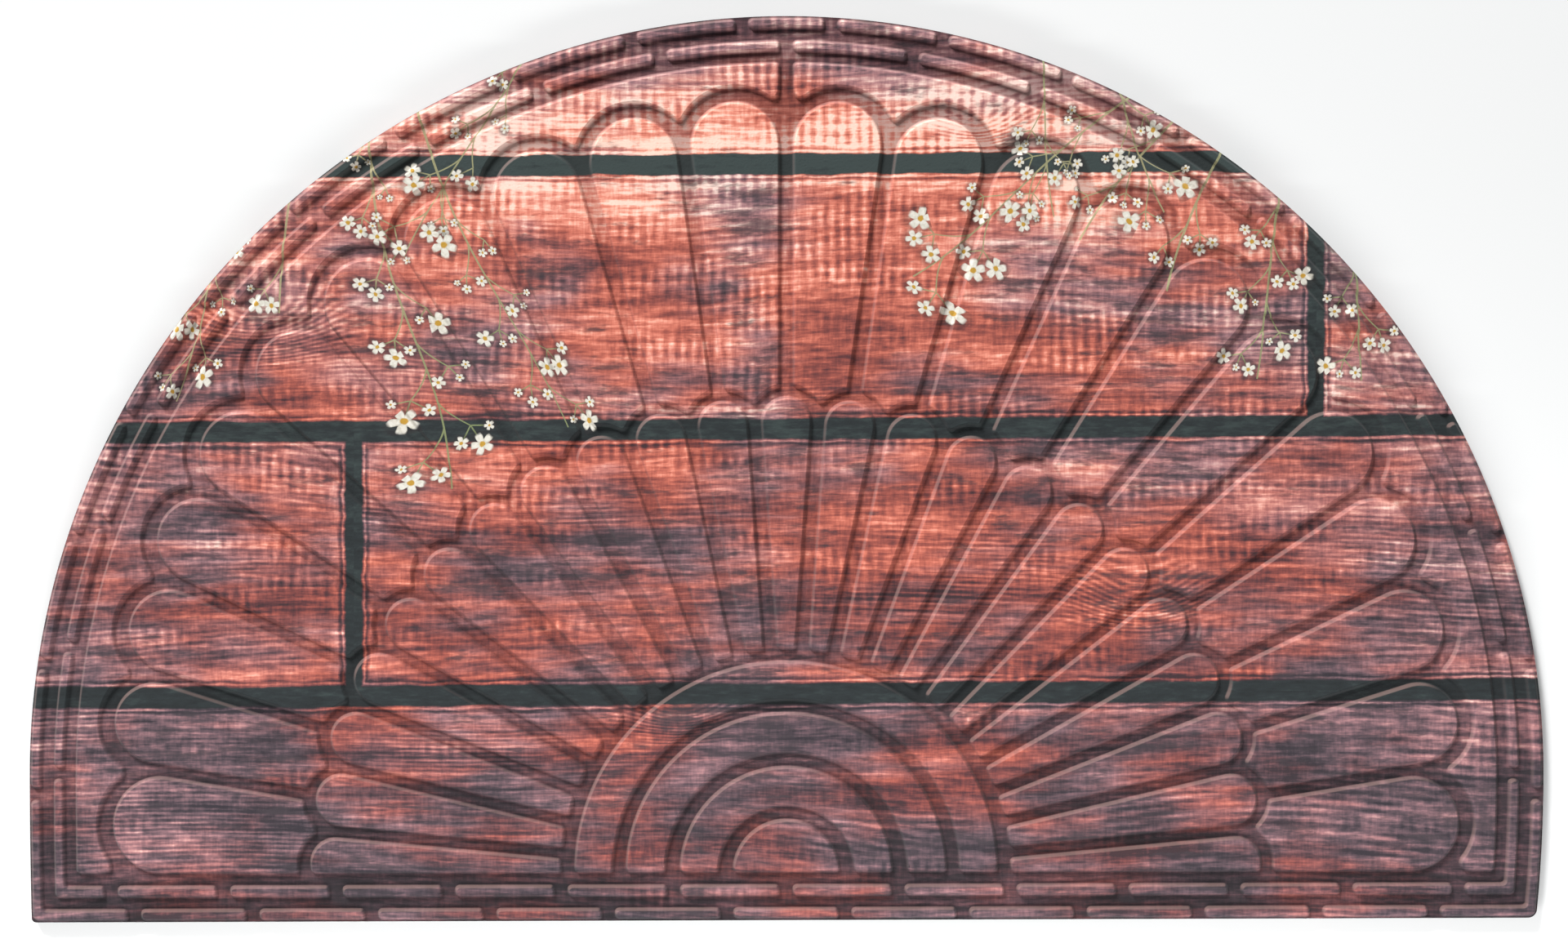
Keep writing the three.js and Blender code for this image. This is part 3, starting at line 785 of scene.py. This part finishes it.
    isStalk = addNode(tree, "Math", times, {
        0: addNode(tree, "Math", below, {0: beyond, 1: 0.0}),
        1: addNode(tree, "Math", below, {
            0: addNode(tree, "Math", size, {0: beside}), 1: 0.33})})
    twigs = addNode(tree, "Math", larger, {0: twig, 1: addNode(
        tree, "Math", times, {0: isStalk, 1: isSector})})
    lines = addNode(tree, "Math", larger, {
        0: addNode(tree, "Math", times, {0: line, 1: grows}),
        1: addNode(tree, "Math", times, {0: twigs, 1: isTwig})})

    # the flower itself: five petals round a yellow eye
    fromMiddle = addNode(tree, "VectorMath", timesPlus, {
        0: ruffle.outputs["Color"], 1: (blossom["ruffle"], blossom["ruffle"], 0), 2: addNode(
            tree, "CombineXYZ", {}, {
                "X": addNode(tree, "Math", minus, {0: beyond, 1: blossom["ruffle"] / 2}),
                "Y": addNode(tree, "Math", minus, {0: beside, 1: blossom["ruffle"] / 2})})})
    flat = addNode(tree, "VectorMath", times, {0: fromMiddle, 1: (1, 1, 0)})
    span = addNode(tree, "VectorMath", lengthOf, {0: flat}).outputs["Value"]
    petalTurn = addNode(tree, "Math", {"operation": "ARCTAN2"}, {0: beside, 1: beyond})
    wave = addNode(tree, "Math", size, {0: addNode(tree, "Math", sine, {0: addNode(
        tree, "Math", timesPlus, {0: petalTurn, 1: 2.5, 2: addNode(
            tree, "Math", times, {0: spin, 1: 6.28})})})})
    edge = addNode(tree, "MapRange", smooth, {"Value": wave, "From Max": 0.9, "To Min": 0.5})
    outward = addNode(tree, "Math", per, {0: span, 1: radius})
    rim = addNode(tree, "Math", per, {0: outward, 1: edge})
    isFlower = addNode(tree, "Math", times, {0: isTwig, 1: isSector})
    petals = addNode(tree, "Math", times, {0: isFlower, 1: addNode(
        tree, "MapRange", smooth, {
            "Value": rim, "From Min": 0.84, "From Max": 1.12, "To Min": 1.0, "To Max": 0.0})})
    shade = addNode(tree, "Math", times, {0: isFlower, 1: addNode(
        tree, "MapRange", smooth, {
            "Value": outward, "From Min": 0.9, "From Max": 1.8, "To Min": 0.5, "To Max": 0.0})})
    crease = addNode(tree, "MapRange", {}, {"Value": wave, "From Max": 0.7, "To Min": 0.6, "To Max": 0.0})
    eye = addNode(tree, "MapRange", smooth, {
        "Value": outward, "From Min": 0.2, "From Max": 0.32, "To Min": 1.0, "To Max": 0.0})
    return {"lines": lines, "petals": petals, "shade": shade, "crease": crease, "eye": eye}


# painted shade in the grooves and on the walls (partly felt pressed flat), and a painted highlight on walls
# facing the upper left
printedFace = {
    "shadeAndPressAmount": [(0.0, 0.75), (0.12, 0.6), (0.25, 0.34), (0.45, 0.22), (0.7, 0.18), (0.82, 0.46),
                (0.93, 0.74)],
    "wallShadeAndStretch": 0.25,
    "paintedHighlight": 0.15,
    "paintedHighlightTint": "#e6b9ae",
    "shadeAndPressTint": "#6c505e",
}


def plantsOver(tree, wood, flat, drift, ruffle, numbers):
    plants = [sprayPrint(tree, flat, drift, ruffle, number, sprays[number]) for number in numbers]
    lines = plants[0]["lines"]
    for plant in plants[1:]:
        lines = addNode(tree, "Math", larger, {0: lines, 1: plant["lines"]})
    dry = addNode(tree, "MapRange", {}, {"Value": drift, "From Min": 0.35, "From Max": 0.65})
    stemColour = addNode(tree, "Mix", colourMix, {
        0: dry, 6: linearColour(blossom["stem"]), 7: linearColour(blossom["dryStem"])}).outputs[2]
    colour = addNode(tree, "Mix", colourMix, {0: addNode(
        tree, "Math", times, {0: lines, 1: 0.85}), 6: wood, 7: stemColour}).outputs[2]
    for plant in plants:
        colour = addNode(tree, "Mix", colourMix, {
            0: plant["shade"], 6: colour, 7: linearColour("#2a2426")}).outputs[2]
        folded = addNode(tree, "Math", timesPlus, {0: ruffle, 1: 1.4, 2: addNode(
            tree, "Math", minus, {0: plant["crease"], 1: 0.55})})
        petal = addNode(tree, "Mix", colourMix, {
            0: folded, 6: linearColour(blossom["petal"]), 7: linearColour(blossom["creased"])}).outputs[2]
        whole = addNode(tree, "Mix", colourMix, {
            0: plant["eye"], 6: petal, 7: linearColour(blossom["eye"])}).outputs[2]
        colour = addNode(tree, "Mix", colourMix, {0: plant["petals"], 6: colour, 7: whole}).outputs[2]
    return colour


def printedFeltMaterial():  # polyester needle felt, dyed by transfer print and pressed into shape
    material = bpy.data.materials.new("printedNeedleFelt")
    material.use_nodes = True
    tree = material.node_tree
    tree.nodes.clear()
    objectPlace = addNode(tree, "TexCoord").outputs["Object"]
    place = addNode(tree, "VectorMath", {"operation": "SCALE"}, {0: objectPlace, "Scale": 1000.0})
    x, y, z = addNode(tree, "SeparateXYZ", {}, {0: place}).outputs
    flat = addNode(tree, "CombineXYZ", {}, {"X": x, "Y": y})

    # painted shade: the grooves and the lower part of each wall are darkened as if shaded, partly also for
    # felt pressed flat in the grooves; most near the mat's top and bottom edges, least at the upper left,
    # where the lamp washes the relief out
    height = addNode(tree, "MapRange", {}, {"Value": y, "From Min": -224.0, "From Max": 224.0})
    # the painted shade is weaker at the upper left, where the lamp washes the relief out
    lightWashLeft = addNode(tree, "MapRange", smooth, {
        "Value": x, "From Min": -220.0, "From Max": -80.0, "To Min": 0.75, "To Max": 0.0})
    lightWashHigh = addNode(tree, "MapRange", smooth, {"Value": y, "From Min": -30.0, "From Max": 50.0})
    kept = addNode(tree, "Math", minus, {0: 1.0, 1: addNode(
        tree, "Math", times, {0: lightWashLeft, 1: lightWashHigh})})
    shadeAndPressAmount = addNode(tree, "Math", times, {0: kept, 1: toneRamp(tree, height, printedFace["shadeAndPressAmount"])})
    grooveShadeAndPress = addNode(tree, "MapRange", smooth, {
        "Value": z, "From Min": plan["grooveTop"], "From Max": plan["padTop"],
        "To Min": shadeAndPressAmount, "To Max": 0.0})
    climbed = addNode(tree, "MapRange", smooth, {
        "Value": z, "From Min": plan["grooveTop"] - 0.1, "From Max": plan["grooveTop"] + 0.3})
    # painted shade on the lower part of each wall, partly for print stretched up the wall
    wallShadeAndStretch = addNode(tree, "MapRange", smooth, {
        "Value": z, "From Min": plan["padTop"] - 1.6, "From Max": plan["padTop"] - 0.5,
        "To Min": printedFace["wallShadeAndStretch"], "To Max": 0.0})
    onWall = addNode(tree, "Math", times, {0: climbed, 1: wallShadeAndStretch})
    darker = addNode(tree, "Math", larger, {0: grooveShadeAndPress, 1: onWall})
    wood = addNode(tree, "Mix", {"data_type": "RGBA", "blend_type": "MULTIPLY"}, {
        0: darker, 6: boardPrint(tree, flat, x, y), 7: linearColour(printedFace["shadeAndPressTint"])}).outputs[2]

    # painted highlight: walls that face the upper left, towards the main lamp, are mixed towards a pale tint
    # as if lit
    normal = addNode(tree, "NewGeometry").outputs["Normal"]
    facing = addNode(tree, "VectorMath", {"operation": "DOT_PRODUCT"}, {0: normal, 1: (-0.55, 0.84, 0)})
    paintedHighlight = addNode(tree, "MapRange", smooth, {
        "Value": facing.outputs["Value"], "From Min": 0.3, "From Max": 0.75,
        "To Max": printedFace["paintedHighlight"]})
    wood = addNode(tree, "Mix", colourMix, {
        0: paintedHighlight, 6: wood, 7: linearColour(printedFace["paintedHighlightTint"])}).outputs[2]

    fuzz = addNode(tree, "TexNoise", {"noise_dimensions": "3D"}, {
        "Vector": place, "Scale": 0.9, "Detail": 3.0, "Roughness": 0.7})
    bump = addNode(tree, "Bump", {}, {"Strength": 0.5, "Distance": 0.0006, "Height": fuzz})
    ruffle = addNode(tree, "TexNoise", {"noise_dimensions": "2D"}, {
        "Vector": flat, "Scale": 0.42, "Detail": 1.0})
    drift = grain(tree, flat, 190, 190, 0)
    surfaces = []
    for numbers in ((), (0, 1), (2, 3)):
        colour = plantsOver(tree, wood, flat, drift, ruffle, numbers) if numbers else wood
        surfaces.append(addNode(tree, "BsdfPrincipled", {}, {
            "Base Color": colour, "Roughness": 0.94, "IOR": 1.45, "Sheen Weight": 0.08,
            "Sheen Roughness": 0.5, "Normal": bump}))
    bare, leftPlants, rightPlants = surfaces

    # plants are worked out only where they can grow
    side = addNode(tree, "Math", size, {0: x})
    isLow = addNode(tree, "Math", below, {0: y, 1: -90.0})
    isMiddle = addNode(tree, "Math", below, {0: side, 1: 30.0})
    isBare = addNode(tree, "Math", larger, {0: isLow, 1: isMiddle})
    isRight = addNode(tree, "Math", above, {0: x, 1: 0.0})
    planted = addNode(tree, "MixShader", {}, {0: isRight, 1: leftPlants, 2: rightPlants})
    addNode(tree, "OutputMaterial", {}, {0: addNode(
        tree, "MixShader", {}, {0: isBare, 1: planted, 2: bare})})
    return material


printedFelt = printedFeltMaterial()
print("print:", len(printedFelt.node_tree.nodes), "nodes")

rimShape = outlineCurve("padRims", rims, plan["padTop"])
edgeShape = outlineCurve("faceEdge", [cutEdge], plan["grooveTop"])
tree, sockets = reliefTree()
moulding = rimShape.modifiers.new("moulding", "NODES")
moulding.node_group = tree
for name, value in (("Cut edge", edgeShape), ("Rim inside", faceRelief["rimInside"] / 1000),
                    ("Foot outside", faceRelief["footOutside"] / 1000),
                    ("Relief", (plan["padTop"] - plan["grooveTop"]) / 1000),
                    ("Groove top", plan["grooveTop"] / 1000), ("Underside", plan["baseTop"] / 1000),
                    ("Wall steps", faceRelief["wallSteps"]), ("Material", printedFelt)):
    moulding[sockets[name]] = value
face = plainMesh(rimShape, "printedFace")
for helper in (rimShape, edgeShape):
    bpy.data.objects.remove(helper)
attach(face, "root")
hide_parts("printed_face")

# Rubber base: one slab under the felt, its lower edge rounded, its underside pebbled

rubberBase = {
    "edgeRadius": 0.6,
    "edgeSteps": 4,
    "felt": 0.15,  # the felt laps this much over the slab's upper edge
    "pebble": 1.4,
}


def insetOutline(points, inset):
    moved = []
    for before, point, after in zip(points[-1:] + points[:-1], points, points[1:] + points[:1]):
        way = (point - before) / abs(point - before) + (after - point) / abs(after - point)
        moved.append(point + way / abs(way) * 1j * inset)
    return moved


def slabMesh(rings):  # closed shape through rings of (inset, height)
    shape = bmesh.new()
    loops = []
    for inset, height in rings:
        ring = insetOutline(cutEdge, inset)
        loops.append([shape.verts.new((p.real / 1000, p.imag / 1000, height / 1000)) for p in ring])
    for lower, upper in zip(loops, loops[1:]):
        for i, corner in enumerate(lower):
            j = (i + 1) % len(lower)
            shape.faces.new((corner, lower[j], upper[j], upper[i])).smooth = True
    shape.faces.new(loops[0][::-1])
    shape.faces.new(loops[-1])
    bmesh.ops.triangulate(shape, faces=[f for f in shape.faces if len(f.verts) > 4])
    bmesh.ops.recalc_face_normals(shape, faces=shape.faces)
    mesh = bpy.data.meshes.new("rubberBase")
    shape.to_mesh(mesh)
    shape.free()
    return mesh


def rubberMaterial():  # black moulded rubber: matt, slightly greyed by dust, with a fine pebble
    material = bpy.data.materials.new("mouldedRubber")
    material.use_nodes = True
    tree = material.node_tree
    tree.nodes.clear()
    objectPlace = addNode(tree, "TexCoord").outputs["Object"]
    place = addNode(tree, "VectorMath", {"operation": "SCALE"}, {0: objectPlace, "Scale": 1000.0})
    cloud = addNode(tree, "TexNoise", {}, {"Vector": place, "Scale": 0.03, "Detail": 4.0})
    colour = toneRamp(tree, cloud, [(0.3, "#232627"), (0.7, "#34383a")])
    shine = addNode(tree, "MapRange", {}, {
        "Value": cloud, "From Min": 0.3, "From Max": 0.7, "To Min": 0.62, "To Max": 0.78})
    pebble = addNode(tree, "TexVoronoi", {"feature": "SMOOTH_F1"}, {
        "Vector": place, "Scale": 1 / rubberBase["pebble"]})
    bump = addNode(tree, "Bump", {"invert": True}, {"Strength": 0.4, "Distance": 0.0003, "Height": pebble})
    surface = addNode(tree, "BsdfPrincipled", {}, {
        "Base Color": colour, "Roughness": shine, "IOR": 1.52, "Normal": bump})
    addNode(tree, "OutputMaterial", {}, {0: surface})
    return material


bend = [math.radians(90 * i / rubberBase["edgeSteps"]) for i in range(rubberBase["edgeSteps"] + 1)]
rounding = rubberBase["edgeRadius"]
edgeRings = [(rounding * (1 - math.sin(a)), rounding * (1 - math.cos(a))) for a in bend]
edgeRings += [(0, plan["baseTop"] - 0.3), (rubberBase["felt"], plan["baseTop"])]
slab = bpy.data.objects.new("rubberBase", slabMesh(edgeRings))
bpy.context.scene.collection.objects.link(slab)
slab.data.materials.append(rubberMaterial())
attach(slab, "root")
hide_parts("rubber_base")
print("rubberBase", len(slab.data.polygons), "faces")

camera = bpy.data.objects.new("camera", bpy.data.cameras.new("camera"))
bpy.context.scene.collection.objects.link(camera)
camera.data.lens = 60
camera.data.sensor_width = 36
frameWidth = 0.7763
camera.location = (-0.0013, -0.0001, 0.006 + frameWidth * camera.data.lens / camera.data.sensor_width)
camera.data.dof.use_dof = False
bpy.context.scene.camera = camera

floorMesh = bpy.data.meshes.new("floor")
floorMesh.from_pydata([(-4, -4, 0), (4, -4, 0), (4, 4, 0), (-4, 4, 0)], [], [(0, 1, 2, 3)])
floor = bpy.data.objects.new("floor", floorMesh)
bpy.context.scene.collection.objects.link(floor)

floorPaint = bpy.data.materials.new("floorPaint")
floorPaint.use_nodes = True
floorPaint.node_tree.nodes["Principled BSDF"].inputs["Base Color"].default_value = linearColour("#eaebeb")
floorPaint.node_tree.nodes["Principled BSDF"].inputs["Roughness"].default_value = 0.9
floorMesh.materials.append(floorPaint)

for name, place, aim, width, depth, power in (
        ("northLight", (-2.25, 4.8, 2.76), (-2.25, 4.8, 2.76), 1.6, 1.6, 600),
        ("southLight", (0.02, -0.55, 0.26), (0, -0.25, 1), 1.3, 0.15, 7.4)):
    light = bpy.data.objects.new(name, bpy.data.lights.new(name, "AREA"))
    light.data.shape = "RECTANGLE"
    light.data.energy = power
    light.data.size = width
    light.data.size_y = depth
    light.location = place
    light.rotation_mode = "QUATERNION"
    light.rotation_quaternion = Vector(aim).to_track_quat("Z", "Y")
    bpy.context.scene.collection.objects.link(light)

world = bpy.data.worlds.new("studio")
world.use_nodes = True
world.node_tree.nodes["Background"].inputs["Color"].default_value = (1, 1, 1, 1)
world.node_tree.nodes["Background"].inputs["Strength"].default_value = 0.19
bpy.context.scene.world = world
bpy.context.scene.view_settings.view_transform = "Standard"
